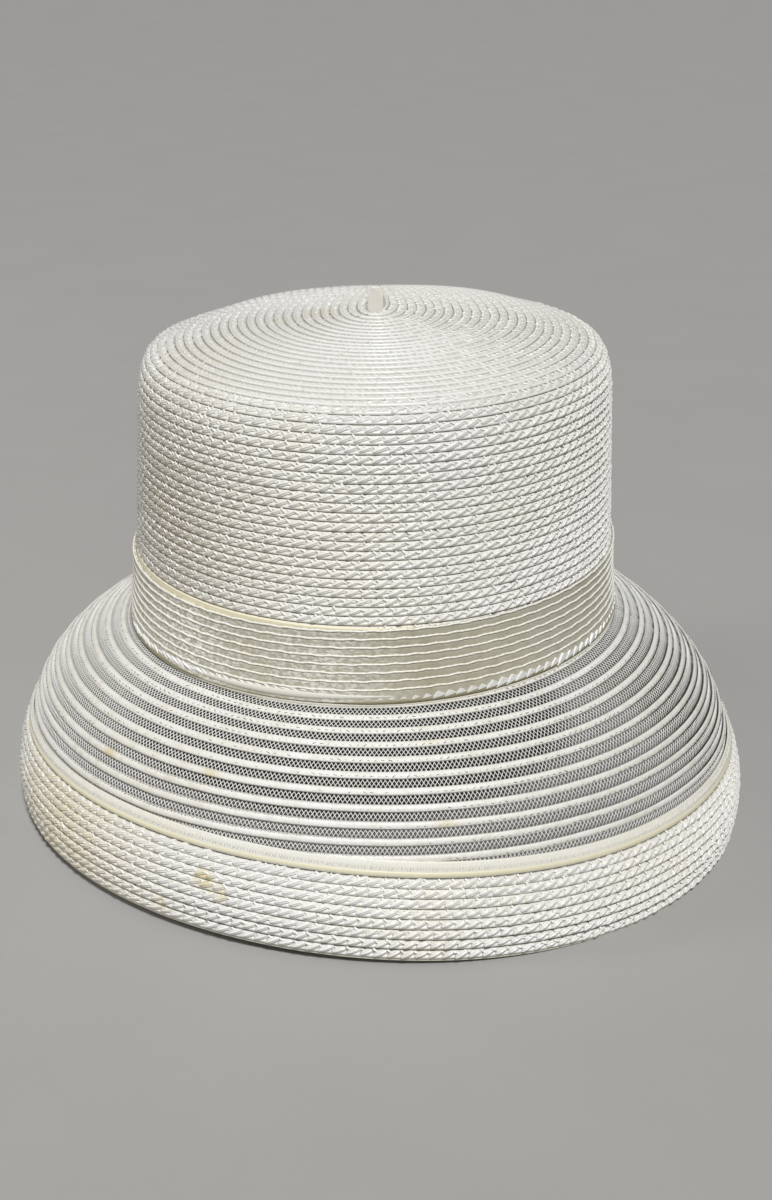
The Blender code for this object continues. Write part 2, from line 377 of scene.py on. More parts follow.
def chance(tree, low, high, seed):
    """A random number for each strand."""
    return place(tree, "FunctionNodeRandomValue", {"Min": low, "Max": high, "Seed": seed})


def store(tree, geometry, name, value, kind="FLOAT", domain="POINT"):
    """The geometry, with a value kept on it by name."""
    return place(
        tree,
        "GeometryNodeStoreNamedAttribute",
        {"Geometry": geometry, "Name": name, "Value": value},
        data_type=kind,
        domain=domain,
    )


def end_tree(tree, entry, geometry):
    """Real geometry, smooth, in its finish."""
    solid = place(tree, "GeometryNodeRealizeInstances", {"Geometry": geometry})
    smooth = place(tree, "GeometryNodeSetShadeSmooth", {"Geometry": solid})
    dressed = {"Geometry": smooth, "Material": entry.outputs["Finish"]}
    place(tree, "NodeGroupOutput", {"Result": place(tree, "GeometryNodeSetMaterial", dressed)})
    return tree


STRAND_SIZES = {
    "Pitch": 0.0045,
    "Length": 0.007,
    "Width": 0.003,
    "Height": 0.002,
    "Slant": 0.5,
    "Lift": 0.15,
    "Roll": 0.0,
    "Unevenness": 0.1,
    "Sides": 6,
    "Rings": 5,
    "Seed": SEED,
}


def guide_curve(tree, given, step):
    """The guides as curves, with points at even steps."""
    line = place(tree, "GeometryNodeMeshToCurve", {"Mesh": given["Guide"]})
    line = {"Curve": line, "Length": given[step]}
    return place(tree, "GeometryNodeResampleCurve", line, mode="LENGTH")


def strand_body(tree, given, shape):
    """The one shape that is set many times, a leaf or a rod along X or a tooth along Z."""
    sides, rings = given["Sides"], given["Rings"]
    if shape == "leaf":
        sizes = {"Segments": sides, "Rings": rings, "Radius": 1.0}
        body = place(tree, "GeometryNodeMeshUVSphere", sizes)
    else:
        sizes = {"Vertices": sides, "Side Segments": rings, "Radius": 1.0, "Depth": 2.0}
        body = place(tree, "GeometryNodeMeshCylinder", sizes, fill_type="NGON")
    quarter = (0.0, 0.0, math.pi / 2) if shape == "tooth" else (0.0, math.pi / 2, 0.0)
    body = {"Geometry": live(body.outputs, 0), "Rotation": quarter}
    body = place(tree, "GeometryNodeTransform", body)
    return store(tree, body, "strand", place(tree, "GeometryNodeInputPosition"), "FLOAT_VECTOR")


def strand_turn(tree, given):
    """How a strand lies: along its guide on the surface, then rolled, slanted and lifted."""
    axes = {
        "Primary Axis": named(tree, "outward", "FLOAT_VECTOR"),
        "Secondary Axis": place(tree, "GeometryNodeInputTangent"),
    }
    kind = "FunctionNodeAxesToRotation"
    turn = place(tree, kind, axes, primary_axis="Z", secondary_axis="X")
    sway = calc(tree, "MULTIPLY", chance(tree, -1.0, 1.0, given["Seed"]), given["Unevenness"])
    slant = calc(tree, "ADD", given["Slant"], sway)
    for angles in ({"X": given["Roll"]}, {"Y": given["Lift"], "Z": slant}):
        angles = place(tree, "ShaderNodeCombineXYZ", angles)
        part = place(tree, "FunctionNodeEulerToRotation", {"Euler": angles})
        turn = {"Rotation": turn, "Rotate By": part}
        turn = place(tree, "FunctionNodeRotateRotation", turn, rotation_space="LOCAL")
    return turn


def strand_size(tree, given):
    """Half of a strand's length, width and height, a little uneven from one to the next."""
    random = chance(tree, -1.0, 1.0, calc(tree, "ADD", given["Seed"], 1.0))
    grown = calc(tree, "MULTIPLY_ADD", random, given["Unevenness"], 1.0)
    grown = calc(tree, "MULTIPLY", grown, named(tree, "size"))
    half = calc(tree, "MULTIPLY", grown, 0.5)
    sides = {"X": "Length", "Y": "Width", "Z": "Height"}
    return place(
        tree,
        "ShaderNodeCombineXYZ",
        {axis: calc(tree, "MULTIPLY", given[size], half) for axis, size in sides.items()},
    )


def strand_tree(name, shape):
    """Strands set one after another along each guide, slanted to it and lying on the surface."""
    tree, entry = new_tree(name, STRAND_SIZES)
    given = entry.outputs
    many = place(
        tree,
        "GeometryNodeInstanceOnPoints",
        {
            "Points": guide_curve(tree, given, "Pitch"),
            "Instance": strand_body(tree, given, shape),
            "Rotation": strand_turn(tree, given),
            "Scale": strand_size(tree, given),
        },
    )
    shade = chance(tree, 0.0, 1.0, calc(tree, "ADD", given["Seed"], 2.0))
    many = store(tree, many, "shade", shade, domain="INSTANCE")
    return end_tree(tree, entry, many)


SWEPT_SIZES = {
    "Step": 0.003,
    "Width": 0.003,
    "Height": 0.0012,
    "Twist": 0.0,
    "Bead": 0.0,
    "Bead Pitch": 0.0015,
    "Sides": 8,
}


def swept_line(tree, given):
    """The guides as curves that know the way out and the length along them."""
    line = {
        "Curve": guide_curve(tree, given, "Step"),
        "Normal": named(tree, "outward", "FLOAT_VECTOR"),
    }
    line = place(tree, "GeometryNodeSetCurveNormal", line, mode="FREE")
    line = place(tree, "GeometryNodeSetCurveTilt", {"Curve": line, "Tilt": given["Twist"]})
    length = live(place(tree, "GeometryNodeSplineParameter").outputs, "Length")
    return store(tree, line, "along", length)


def swept_section(tree, given):
    """The strip's oval section."""
    circle = {"Resolution": given["Sides"], "Radius": 1.0}
    circle = place(tree, "GeometryNodeCurvePrimitiveCircle", circle)
    scale = {
        "X": calc(tree, "MULTIPLY", given["Height"], 0.5),
        "Y": calc(tree, "MULTIPLY", given["Width"], 0.5),
        "Z": 1.0,
    }
    scale = place(tree, "ShaderNodeCombineXYZ", scale)
    section = {"Geometry": live(circle.outputs, "Curve"), "Scale": scale}
    return place(tree, "GeometryNodeTransform", section)


def swept_tree(name):
    """A rounded strip along each guide, flat on the surface, beaded where that is asked."""
    tree, entry = new_tree(name, SWEPT_SIZES)
    given = entry.outputs
    line = swept_line(tree, given)
    wave = calc(tree, "DIVIDE", named(tree, "along"), given["Bead Pitch"])
    wave = calc(tree, "SINE", calc(tree, "MULTIPLY", wave, 2 * math.pi))
    swell = calc(tree, "MULTIPLY_ADD", wave, given["Bead"], 1.0)
    swell = calc(tree, "MULTIPLY", swell, named(tree, "size"))
    body = {
        "Curve": line,
        "Profile Curve": swept_section(tree, given),
        "Scale": swell,
        "Fill Caps": True,
    }
    return end_tree(tree, entry, place(tree, "GeometryNodeCurveToMesh", body))


def grow(name, tree, lines, finish, **sizes):
    """Runs a tree along guides, and keeps the result as a plain mesh."""
    carrier = bpy.data.objects.new(name + "_guide", lines)
    bpy.context.scene.collection.objects.link(carrier)
    modifier = carrier.modifiers.new("grow", "NODES")
    modifier.node_group = tree
    values = {label.replace("_", " "): value for label, value in sizes.items()}
    values["Finish"] = finish
    for item in tree.interface.items_tree:
        if item.in_out == "INPUT" and item.name in values:
            modifier[item.identifier] = values[item.name]
    bpy.context.view_layer.update()
    graph = bpy.context.evaluated_depsgraph_get()
    mesh = bpy.data.meshes.new_from_object(carrier.evaluated_get(graph))
    bpy.data.objects.remove(carrier)
    mesh.name = name
    return keep(name, mesh)


def strip(width, height, step=3.0, sides=8):
    """The sizes of a rounded strip, from millimetres."""
    return dict(Step=step * MM, Width=width * MM, Height=height * MM, Sides=sides)


def colour_group(name, inputs):
    """An empty shader group with named inputs that puts out a colour."""
    group = bpy.data.node_groups.new(name, "ShaderNodeTree")
    for label, value in inputs.items():
        size = len(value) if isinstance(value, tuple) else 1
        kind = {1: "NodeSocketFloat", 3: "NodeSocketVector", 4: "NodeSocketColor"}[size]
        socket = group.interface.new_socket(label, in_out="INPUT", socket_type=kind)
        socket.default_value = value
    group.interface.new_socket("Colour", in_out="OUTPUT", socket_type="NodeSocketColor")
    return group, place(group, "NodeGroupInput").outputs, place(group, "NodeGroupOutput")


def mixed(nodes, share, first, second):
    """One colour that goes over to another by a share."""
    node = place(
        nodes, "ShaderNodeMix", {"Factor": share, "A": first, "B": second}, data_type="RGBA"
    )
    return live(node.outputs, "Result")


def spread(nodes, value, low, high, to_low=0.0, to_high=1.0):
    """A value brought from one range to another, and held inside it."""
    ends = {"From Min": low, "From Max": high, "To Min": to_low, "To Max": to_high}
    return place(nodes, "ShaderNodeMapRange", {"Value": value, **ends})


def noise(nodes, where, scale, detail):
    """A cloudy pattern."""
    pattern = {"Vector": where, "Scale": scale, "Detail": detail}
    return place(nodes, "ShaderNodeTexNoise", pattern)


def object_place(nodes):
    """The place on the piece, in metres."""
    return live(place(nodes, "ShaderNodeTexCoord").outputs, "Object")


def aged_group():
    """A colour that has yellowed in broad clouds and in small flecks."""
    group, given, out = colour_group(
        "aged",
        {
            "Colour": (0.8, 0.76, 0.66, 1.0),
            "Aged": (0.78, 0.68, 0.45, 1.0),
            "Amount": 0.35,
            "Cloud": 14.0,
            "Fleck": 260.0,
            "Fleck Amount": 0.1,
        },
    )
    where = object_place(group)
    cloud = spread(group, noise(group, where, given["Cloud"], 3.0), 0.4, 0.75)
    fleck = spread(group, noise(group, where, given["Fleck"], 2.0), 0.45, 0.7)
    share = calc(group, "MULTIPLY", cloud, given["Amount"])
    share = calc(group, "MULTIPLY_ADD", fleck, given["Fleck Amount"], share)
    feed(group, out, "Colour", mixed(group, share, given["Colour"], given["Aged"]))
    return group


def spot_group():
    """A colour with a soft patch laid over it round a point, in patches where that is asked; the
    patches are real stains, painted shade and painted highlights.
    """
    group, given, out = colour_group(
        "spot",
        {
            "Colour": (0.8, 0.8, 0.8, 1.0),
            "Stain And Painted Light": (0.6, 0.5, 0.2, 1.0),
            "Place": (0.0, 0.0, 0.0),
            "Radius": 0.006,
            "Strength": 0.6,
            "Patchy": 0.0,
        },
    )
    where = object_place(group)
    reach = place(
        group, "ShaderNodeVectorMath", {0: where, 1: given["Place"]}, operation="DISTANCE"
    )
    reach = calc(group, "DIVIDE", live(reach.outputs, "Value"), given["Radius"])
    ragged = calc(group, "MULTIPLY", noise(group, where, 300.0, 2.0), 0.7)
    mask = spread(group, calc(group, "ADD", reach, ragged), 1.35, 0.5)
    mask = calc(group, "MULTIPLY", mask, given["Strength"])
    flat = place(group, "ShaderNodeMapping", {"Vector": where, "Scale": (1.0, 1.0, 2.2)})
    bare = spread(group, noise(group, flat, 520.0, 3.0), 0.56, 0.47)
    bare = calc(group, "MULTIPLY", bare, given["Patchy"])
    mask = calc(group, "MULTIPLY", mask, calc(group, "SUBTRACT", 1.0, bare))
    feed(group, out, "Colour", mixed(group, mask, given["Colour"], given["Stain And Painted Light"]))
    return group


AGED = aged_group()
SPOT = spot_group()


def new_finish(name, roughness, sheen):
    """A material, its nodes and its Principled shader with the plain values set on it."""
    finish = bpy.data.materials.new(name)
    finish.use_nodes = True
    nodes = finish.node_tree
    shader = nodes.nodes["Principled BSDF"]
    shader.inputs["Roughness"].default_value = roughness
    shader.inputs["Sheen Weight"].default_value = sheen
    shader.inputs["Sheen Roughness"].default_value = 0.4
    return finish, nodes, shader


def aged_colour(nodes, colour, aged, amount, flecks=0.1):
    """A plain colour, yellowed by the shared group."""
    return place(
        nodes,
        "ShaderNodeGroup",
        {
            "Colour": (*colour, 1.0),
            "Aged": (*aged, 1.0),
            "Amount": amount,
            "Fleck Amount": flecks,
        },
        node_tree=AGED,
    )


AMBER = (0.66, 0.52, 0.15)
# A yellower, darker straw, laid broadly over the left of the border.
YELLOWER_STRAW = (0.80, 0.68, 0.40)
# Painted shade: a dull, darker straw laid broadly over the left of the crown, where less light
# falls.
PAINTED_SHADE_STRAW = (0.46, 0.405, 0.29)
# Painted highlight: a near-white tint laid where the band's satin catches the light.
PAINTED_HIGHLIGHT = (0.95, 0.95, 0.92)


def add_stains_and_painted_light(nodes, colour, stains_and_painted_light):
    """A colour with real stains, painted shade and painted highlights laid over it, each (x, y, z,
    radius in mm, strength, tint).
    """
    for x, y, z, radius, strength, tint in stains_and_painted_light:
        colour = place(
            nodes,
            "ShaderNodeGroup",
            {
                "Colour": colour,
                "Stain And Painted Light": (*tint, 1.0),
                "Place": (x * MM, y * MM, z * MM),
                "Radius": radius * MM,
                "Strength": strength,
                # painted highlights are laid in patches, the other marks whole
                "Patchy": 1.0 if tint == PAINTED_HIGHLIGHT else 0.0,
            },
            node_tree=SPOT,
        )
    return colour


def attribute(nodes, name, output="Fac"):
    """What the mesh knows by that name."""
    node = place(nodes, "ShaderNodeAttribute", attribute_name=name)
    return live(node.outputs, output)


def bump(nodes, height, distance):
    """Fine relief from a height, of a depth in millimetres."""
    return place(nodes, "ShaderNodeBump", {"Height": height, "Distance": distance * MM})


STRAND_ROUGHNESS = 0.3
STRAND_SHADE = 0.22  # how far the darkest strands go towards the dark colour
STRAND_DARK = 0.72  # the dark colour's share of the plain one
STRAND_THREADS = 9.0  # how close the threads of a strand lie


def strand_finish(name, colour, aged, stains_and_painted_light):
    """Satin straw: fine threads run along each strand, and each strand has its own shade."""
    finish, nodes, shader = new_finish(name, STRAND_ROUGHNESS, sheen=0.15)
    base = add_stains_and_painted_light(nodes, aged_colour(nodes, colour, aged, 0.3), stains_and_painted_light)
    shade = spread(nodes, attribute(nodes, "shade"), 0.0, 1.0, 0.0, STRAND_SHADE)
    dark = (*(STRAND_DARK * part for part in colour), 1.0)
    feed(nodes, shader, "Base Color", mixed(nodes, shade, base, dark))
    local = attribute(nodes, "strand", "Vector")
    local = place(nodes, "ShaderNodeSeparateXYZ", {"Vector": local})
    wave = calc(nodes, "MULTIPLY", live(local.outputs, "Y"), STRAND_THREADS)
    wobble = noise(nodes, object_place(nodes), 900.0, 2.0)
    wave = calc(nodes, "ADD", wave, calc(nodes, "MULTIPLY", wobble, 3.0))
    feed(nodes, shader, "Normal", bump(nodes, calc(nodes, "SINE", wave), 0.09))
    smoothest, roughest = STRAND_ROUGHNESS - 0.1, STRAND_ROUGHNESS + 0.12
    feed(nodes, shader, "Roughness", spread(nodes, wobble, 0.3, 0.7, smoothest, roughest))
    return finish


def plain_finish(
    name,
    colour,
    aged,
    roughness=0.5,
    grain=900.0,
    depth=0.05,
    stretch=(1, 1, 1),
    amount=0.35,
    flecks=0.1,
    stains_and_painted_light=(),
):
    """Cloth or straw with a fine grain, drawn out along the wall where stretch says so."""
    finish, nodes, shader = new_finish(name, roughness, sheen=0.1)
    base = add_stains_and_painted_light(nodes, aged_colour(nodes, colour, aged, amount, flecks), stains_and_painted_light)
    feed(nodes, shader, "Base Color", base)
    where = place(nodes, "ShaderNodeMapping", {"Vector": object_place(nodes), "Scale": stretch})
    feed(nodes, shader, "Normal", bump(nodes, noise(nodes, where, grain, 3.0), depth))
    return finish


IVORY = (0.87, 0.862, 0.835)
AGED_IVORY = (0.78, 0.71, 0.53)

# The braid's real stains, a yellower patch at the border's left, and painted shade over the crown's
# left.
# x, y, z and radius in millimetres, strength, tint
BRAID_STAINS_AND_SHADE = (
    (-62, -124, 26, 6, 0.7, AMBER),
    (-56, -127, 22, 5, 0.5, AMBER),
    (-79, -115, 10, 5, 0.4, AMBER),
    (-25, -1, 202, 9, 0.35, AMBER),
    (-38, -8, 200, 8, 0.25, AMBER),
    (-32, -86, 181, 14, 0.12, AMBER),
    # yellower and darker over the left of the border
    (-118, -72, 18, 56, 0.6, YELLOWER_STRAW),
    # painted shade over the left of the crown
    (-84, -54, 140, 62, 0.75, PAINTED_SHADE_STRAW),
)
NET_STAINS = (
    (-100, -86, 57, 5, 0.5, AMBER),
    (-60, -112, 62, 5, 0.45, AMBER),
    (24, -130, 53, 6, 0.3, AMBER),
    (18, -111, 76, 5, 0.2, AMBER),
)
# Painted highlights: near-white patches on the band's left, where its crinkled satin catches the
# light.
BAND_PAINTED_HIGHLIGHTS = (
    (-72, -66, 98, 38, 0.9, PAINTED_HIGHLIGHT),
    (-94, -20, 98, 38, 0.9, PAINTED_HIGHLIGHT),
    (-24, -98, 96, 38, 0.6, PAINTED_HIGHLIGHT),
)
# The braid's satin, with its stains and the painted shade at the crown's left.
rope = strand_finish("satin_rope", IVORY, AGED_IVORY, BRAID_STAINS_AND_SHADE)
# The shell under the braid, in a dull straw far darker than the ivory: painted shade for the grooves
# between rows and for the hat's inside.
painted_shade_ground = plain_finish("braid_ground_painted_shade", (0.46, 0.435, 0.36), (0.38, 0.35, 0.26), roughness=0.7)
bed_straw = plain_finish("bed_straw", (0.77, 0.755, 0.69), AGED_IVORY, roughness=0.5)
backing_cloth = plain_finish("yellow_tape", (0.84, 0.79, 0.61), (0.78, 0.70, 0.46), roughness=0.55)
# The band's satin, with painted highlights at its left.
band_satin = plain_finish(
    "band_satin",
    (0.52, 0.49, 0.39),
    (0.40, 0.375, 0.27),
    roughness=0.3,
    stretch=(1, 1, 3),
    grain=500.0,
    depth=0.2,
    amount=0.5,
    flecks=0.5,
    stains_and_painted_light=BAND_PAINTED_HIGHLIGHTS,
)
ridge_satin = plain_finish(
    "band_ridge", (0.93, 0.91, 0.83), AGED_IVORY, roughness=0.35, grain=1400.0, amount=0.2
)
tooth_white = plain_finish("tooth_white", (0.92, 0.92, 0.90), IVORY, roughness=0.35, grain=1400.0)
# Dark olive for the band's foot edge: partly the band's own olive edge, partly painted shade beneath
# it.
olive_foot_and_painted_shade = plain_finish("olive_foot_and_painted_shade", (0.32, 0.29, 0.18), (0.26, 0.23, 0.13), roughness=0.4)
foot_satin = plain_finish("foot_satin", (0.75, 0.735, 0.66), AGED_IVORY, roughness=0.4, grain=700.0)
# Painted shade: dark rods for the small holes along each net ridge's lower side, which show only the
# shade behind them.
painted_hole_shade = plain_finish("painted_hole_shade", (0.30, 0.28, 0.25), (0.2, 0.18, 0.15), roughness=0.7)
edge_straw = plain_finish("edge_straw", (0.80, 0.76, 0.57), (0.74, 0.66, 0.42), roughness=0.45)
# Painted glints: near-white, smooth threads across the braid's rows that stand in for the satin's
# glints.
glint = plain_finish("seam_glint", (0.95, 0.94, 0.90), IVORY, roughness=0.16, grain=1400.0)
# Cream straw, darkened as painted shade for the collar below the band; the hem cord has the same
# colour.
painted_shade_collar_straw = plain_finish("collar_braid_painted_shade", (0.74, 0.71, 0.61), AGED_IVORY, roughness=0.5)
net_thread = plain_finish("net_thread", (0.92, 0.91, 0.87), IVORY, roughness=0.45, depth=0.02)
net_tape = plain_finish(
    "net_ridge",
    (0.87, 0.86, 0.82),
    (0.62, 0.57, 0.44),
    roughness=0.5,
    depth=0.25,
    flecks=0.3,
    stains_and_painted_light=NET_STAINS,
)
heading_straw = plain_finish("heading_straw", (0.86, 0.843, 0.765), AGED_IVORY, roughness=0.45)

LEAVES = strand_tree("rope_strands", "leaf")
THREADS = strand_tree("net_threads", "rod")
TEETH = strand_tree("band_teeth", "tooth")
STRIPS = swept_tree("rounded_strips")


def runs(path, kept):
    """The parts of a path whose points are kept, each a path of its own."""
    edges = np.flatnonzero(np.diff(np.r_[0, kept.astype(int), 0]))
    return [
        tuple(column[first:last] for column in path[:3]) + (False,)
        for first, last in zip(edges[::2], edges[1::2])
        if last - first > 2
    ]


INNER_RELIEF = 0.5  # how far the rows stand out on the inside
FOOT_MARGIN = 2.0  # the rows inside begin this far above the crown's foot
shell_rows = np.r_[START_R * 0.5, START_R + BRAID_PITCH * np.arange(0, CROWN_ROWS + 1, 1.0)]
outside = [(0.0, -BRAID_RELIEF)] + [(d, -BRAID_RELIEF) for d in shell_rows]
foot_d = float(np.interp(-CROWN_FOOT_Z, -crown.z, crown.along))
outside.append((foot_d, -BRAID_RELIEF))
half_rows = np.arange(START_R + BRAID_PITCH, foot_d - FOOT_MARGIN, BRAID_PITCH / 2)[::-1]
within = [(foot_d, -CROWN_WALL)]
within += [(d, -CROWN_WALL - INNER_RELIEF * (i % 2)) for i, d in enumerate(half_rows)]
within += [(START_R, -CROWN_WALL), (0.0, -CROWN_WALL)]
# The crown's shell is in the darkened ground, painted shade for its grooves and inside.
shell = loft("crown_shell", turned_rings(crown.at, outside + within, CROWN_SIDES), painted_shade_ground)
weld(shell)
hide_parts("crown")

SPIRAL_START = 1.1  # down from the middle of the top, at the front
TIP_CLEAR = 4.2  # the rows keep this far from the middle, beside the straight start
BEHIND_BAND = 2.0  # the rows run on this far behind the band's top
BELOW_BACKING = 1.8  # how far the bed and the lip of a row run on behind the backing
STRANDS_BELOW = 0.1  # and how far its strands do
CROWN_BED = -0.62  # how far out from the crown's surface the bed lies, and the lip
CROWN_LIP = -0.34


def crown_paths(first_row, last_row, share, out):
    """The braid's line between two of its rows, at a share of a row, where it shows."""
    first = SPIRAL_START + (first_row + share) * BRAID_PITCH
    path = spiral_path(first, BRAID_PITCH, last_row - first_row, out)
    x, y = np.cos(path[1]) * BRIM_ROOT_R, np.sin(path[1]) * BRIM_ROOT_R
    band_top = BAND_TOP_Z + root_rise(x, y) - BEHIND_BAND
    backing_top = BACKING_TOP_Z + BACKING_TILT * np.cos(path[1])
    hidden = np.maximum(band_top, backing_top)
    height = crown.at(*path[:3])[:, 2]
    below = BELOW_BACKING if out in (CROWN_BED, CROWN_LIP) else STRANDS_BELOW
    return runs(path, (height > hidden - below) & (path[0] > TIP_CLEAR))


TIP_AHEAD = 4.6  # how far the straight start reaches to the front, and to the back
TIP_BEHIND = 3.9
TIP_OUT = -1.2


def tip_line(points=24):
    """The straight start of the braid, from front to back over the middle of the top."""
    along = np.linspace(-TIP_AHEAD, TIP_BEHIND, points)
    angle = np.where(along < 0, FRONT, -FRONT)
    return np.abs(along), angle, np.full(points, TIP_OUT), False


tip = grow(
    "crown_tip",
    STRIPS,
    guide(crown.at, [tip_line()]),
    bed_straw,
    **strip(6.6, 1.9, step=2.0, sides=12),
)

# For each part of the braid: its tree, its place as a share of a row, its material, shared sizes.
BRAID_PARTS = {
    "bed": (STRIPS, 0.45, bed_straw, dict(Step=0.004, Twist=0.2, Sides=6)),
    "lip": (STRIPS, 0.74, rope, dict(Step=0.003, Twist=0.3, Sides=8)),
    "strands": (LEAVES, 0.41, rope, dict(Roll=-0.25, Unevenness=0.1)),
    "seams": (THREADS, 0.30, glint, dict(Lift=0.1, Unevenness=0.3, Sides=4, Rings=1)),
}


def lay_braid(name, slot, point, paths_at, **parts):
    """Rows of braid: a bed, a lip along each row's lower edge, strands over it and white cross
    threads as painted glints.

    Each part is given as how far out of the surface it lies, and its own sizes.
    """
    for part, (out, sizes) in parts.items():
        tree, share, look, shared = BRAID_PARTS[part]
        lines = guide(point, paths_at(share, out))
        piece = grow(name + "_" + part, tree, lines, look, **shared, **sizes)


def crown_rows(first_row, last_row):
    """The rule that lay_braid asks for, for some of the crown's rows."""

    def paths_at(share, out):
        return crown_paths(first_row, last_row, share, out)

    return paths_at


CROWN_STRANDS = dict(Pitch=0.0051, Length=0.0062, Width=0.0023, Slant=0.42)
# white cross threads on the crown's rows, painted glints
CROWN_GLINT_SEAMS = dict(Pitch=0.00255, Length=0.0029, Width=0.0007, Height=0.0007, Slant=-0.62)
# part, first row, last row, how thick its braid is
CROWN_PARTS = (
    ("top", 0, SHOULDER_ROW + 1, 0.42),
    ("side", SHOULDER_ROW + 1, LAST_ROW, 1.0),
)
for part, first, last, thick in CROWN_PARTS:
    lay_braid(
        "crown_" + part,
        "crown",
        crown.at,
        crown_rows(first, last),
        bed=(CROWN_BED, dict(Width=0.0033, Height=0.0009)),
        lip=(CROWN_LIP, dict(Width=0.0014, Height=0.0016)),
        strands=(-0.48, dict(CROWN_STRANDS, Height=0.0028 * thick, Lift=0.14 * thick)),
        seams=(-0.6 + 0.6 * thick, CROWN_GLINT_SEAMS),
    )


def backing_rise(x, _):
    """How much higher the backing is there than at its middle."""
    return BACKING_TILT * x / BRIM_ROOT_R


settle_backing = settle_round(backing_rise)


def backing_at(z, angle, out):
    """Points of the backing at a height."""
    return np.stack(settle_backing(WALL_R + GAP + out, angle, z), axis=-1)


BACKING_SWELL = 0.2  # the tape is this much thicker than its solid
BACKING_EDGE = 0.3  # and its rounded top edge stands up by this
steps = np.linspace(BACKING_TOP_Z, BACKING_FOOT_Z, 6)
profile = [(steps[0] + BACKING_EDGE, BACKING_T * 0.6)]
profile += [(z, BACKING_T + BACKING_SWELL) for z in steps]
profile += [(z, 0.0) for z in steps[::-1]]
backing = loft("backing_tape", turned_rings(backing_at, profile, BACKING_SIDES), backing_cloth)
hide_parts("band_backing")

# Shares of the band's height and how far out it stands there, for one flat and for the foot.
RIDGE_STEP = 0.117
BAND_FLAT = ((0.0, 0.8), (0.025, 0.92), (0.06, 1.0), (0.1, 0.92))
BAND_FOOT = ((0.95, 1.0), (0.99, 1.0), (1.0, 0.7))
flats = [
    (ridge * RIDGE_STEP + down, out) for ridge in range(BAND_RIDGES) for down, out in BAND_FLAT
]
flats += BAND_FOOT
behind = [(share, 0.0) for share in (1.0, 0.66, 0.33, 0.0)]
band = loft("band_satin", turned_rings(band_at, flats + behind, BAND_SIDES), band_satin)
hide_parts("hat_band")


def wavy_ring(share, out, turn, sway=0.004, points=720):
    """A ring that wanders a little up and down."""
    path = ring_path(share, out, turn, points)
    angle = path[1]
    wander = np.sin(61 * angle + 5 * turn) + 0.7 * np.sin(97 * angle + turn)
    return (path[0] + sway * wander, angle, path[2], True)


rings = [wavy_ring(k * RIDGE_STEP, BAND_WALL + 0.12, k) for k in range(BAND_RIDGES)]
ridges = grow(
    "band_ridges",
    STRIPS,
    guide(band_at, rings),
    ridge_satin,
    Bead=0.22,
    Bead_Pitch=0.0024,
    **strip(0.7, 0.8, step=0.8, sides=6),
)


# How much of the teeth shows, by direction in degrees: 270 is the front and 0 the right.
TOOTH_TURN = (0, 20, 60, 150, 195, 268, 285, 300, 328, 345, 360)
TOOTH_SHARE = (0.35, 0.35, 0.8, 0.8, 0.1, 0.1, 0.7, 1.0, 1.0, 0.35, 0.35)


def tooth_size(angle):
    """Teeth show full at the right of the front and hardly at its left, and wander in size."""
    turn = np.degrees(np.remainder(angle, 2 * math.pi))
    grown = np.interp(turn, TOOTH_TURN, TOOTH_SHARE)
    wander = 0.12 * np.sin(23 * angle) + 0.1 * np.sin(57 * angle)
    return grown * (1 + wander)


tooth_line = ring_path(0.945, BAND_WALL + 0.2, points=720)
teeth = grow(
    "band_teeth",
    TEETH,
    guide(band_at, [tooth_line], [tooth_size(tooth_line[1])]),
    tooth_white,
    Pitch=0.0043,
    Length=0.0072,
    Width=0.0034,
    Height=0.0008,
    Slant=0.15,
    Lift=0.08,
    Roll=0.1,
    Sides=3,
    Rings=1,
)
teeth.data.set_sharp_from_angle(angle=math.radians(30))

DEGREES = 0.5  # from point to point of a part ring


def part_ring(first, last, share, out):
    """Part of a ring on the band, between two directions in degrees."""
    angle = np.radians(np.arange(first, last, DEGREES))
    return share * np.ones(len(angle)), angle, np.full(len(angle), out), False


# The loose twists at the left of the front: their places down the band and their sizes, each by
# direction in degrees.
TWIST_TURN = (196, 215, 235, 262)
TWIST_SHARE = (0.955, 0.92, 0.885, 0.835)
TWIST_SIZE_TURN = (196, 225, 262)
TWIST_SIZE = (0.9, 1.0, 0.45)
twist_turn = np.arange(TWIST_TURN[0], TWIST_TURN[-1], DEGREES)
twist_share = np.interp(twist_turn, TWIST_TURN, TWIST_SHARE)
twist = part_ring(TWIST_TURN[0], TWIST_TURN[-1], twist_share, BAND_WALL + 0.1)
twists = grow(
    "band_twists",
    LEAVES,
    guide(band_at, [twist], [np.interp(twist_turn, TWIST_SIZE_TURN, TWIST_SIZE)]),
    tooth_white,
    Pitch=0.0034,
    Length=0.0056,
    Width=0.0012,
    Height=0.0009,
    Slant=-0.42,
    Lift=0.0,
    Unevenness=0.25,
)


def taper(angles, reach=0.25):
    """1 along a path, and down to nothing at its two ends."""
    end = np.minimum(angles - angles[0], angles[-1] - angles)
    return np.clip(end / reach, 0.02, 1) ** 0.6


# The band's foot edge, dark olive: partly its own colour, partly painted shade, tapered at its ends.
edge_line = part_ring(262, 590, 0.99, BAND_WALL + 0.05)
foot_edge = grow(
    "band_foot_edge",
    STRIPS,
    guide(band_at, [edge_line], [taper(edge_line[1])]),
    olive_foot_and_painted_shade,
    **strip(1.5, 0.7, step=2.0),
)

FOOT_STRIP = 2.4  # how many times wider the strip is at its middle
foot_line = part_ring(222, 276, 0.915, BAND_WALL - 0.05)
foot_strip = grow(
    "band_foot_strip",
    STRIPS,
    guide(band_at, [foot_line], [FOOT_STRIP * taper(foot_line[1], 0.4)]),
    foot_satin,
    **strip(1.2, 0.6, step=2.0),
)

